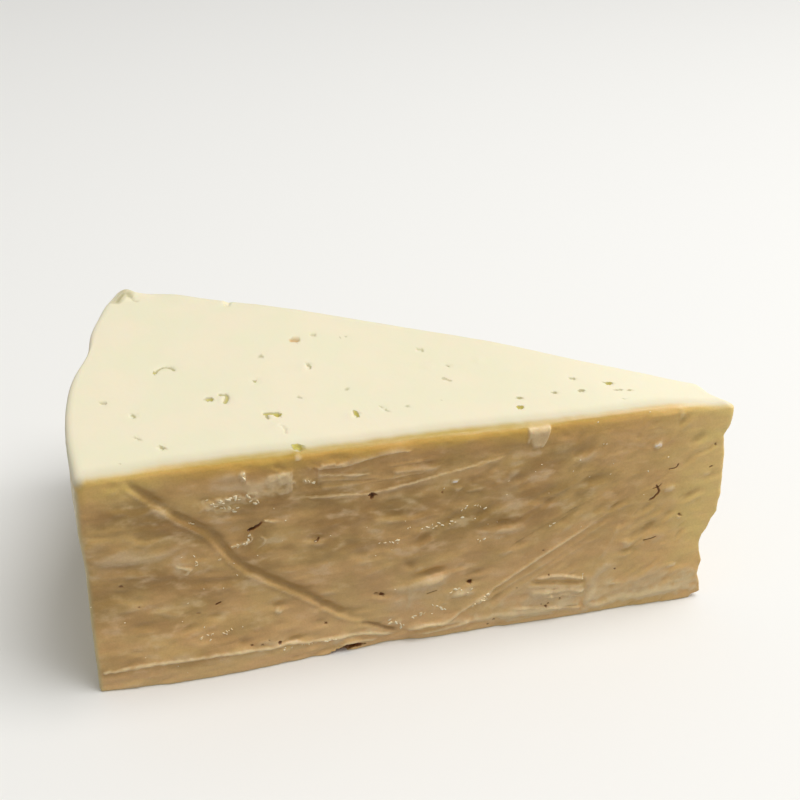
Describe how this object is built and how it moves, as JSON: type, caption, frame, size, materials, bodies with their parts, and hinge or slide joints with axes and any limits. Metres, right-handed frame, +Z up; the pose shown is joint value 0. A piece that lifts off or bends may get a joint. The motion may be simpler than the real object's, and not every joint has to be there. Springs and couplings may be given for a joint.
{
  "type": "cheese wedge",
  "caption": "Wedge of fresh asiago cut from half the height of a small wheel, with a blunt ragged tip, small eyes and a creased front cut, resting on its flat foot.",
  "frame": {"origin": "under the middle of the wedge's box, on the flat foot it rests on", "axes": "+X along the long front cut from the rim to the blunt tip, +Y back towards the second long cut, +Z up"},
  "size_m": [0.1646, 0.1, 0.0637],
  "materials": {
    "paste": "moist, semi-hard cut cheese, satin"
  },
  "bodies": {
    "root": {"cheese_wedge": "paste"}
  },
  "joints": []
}
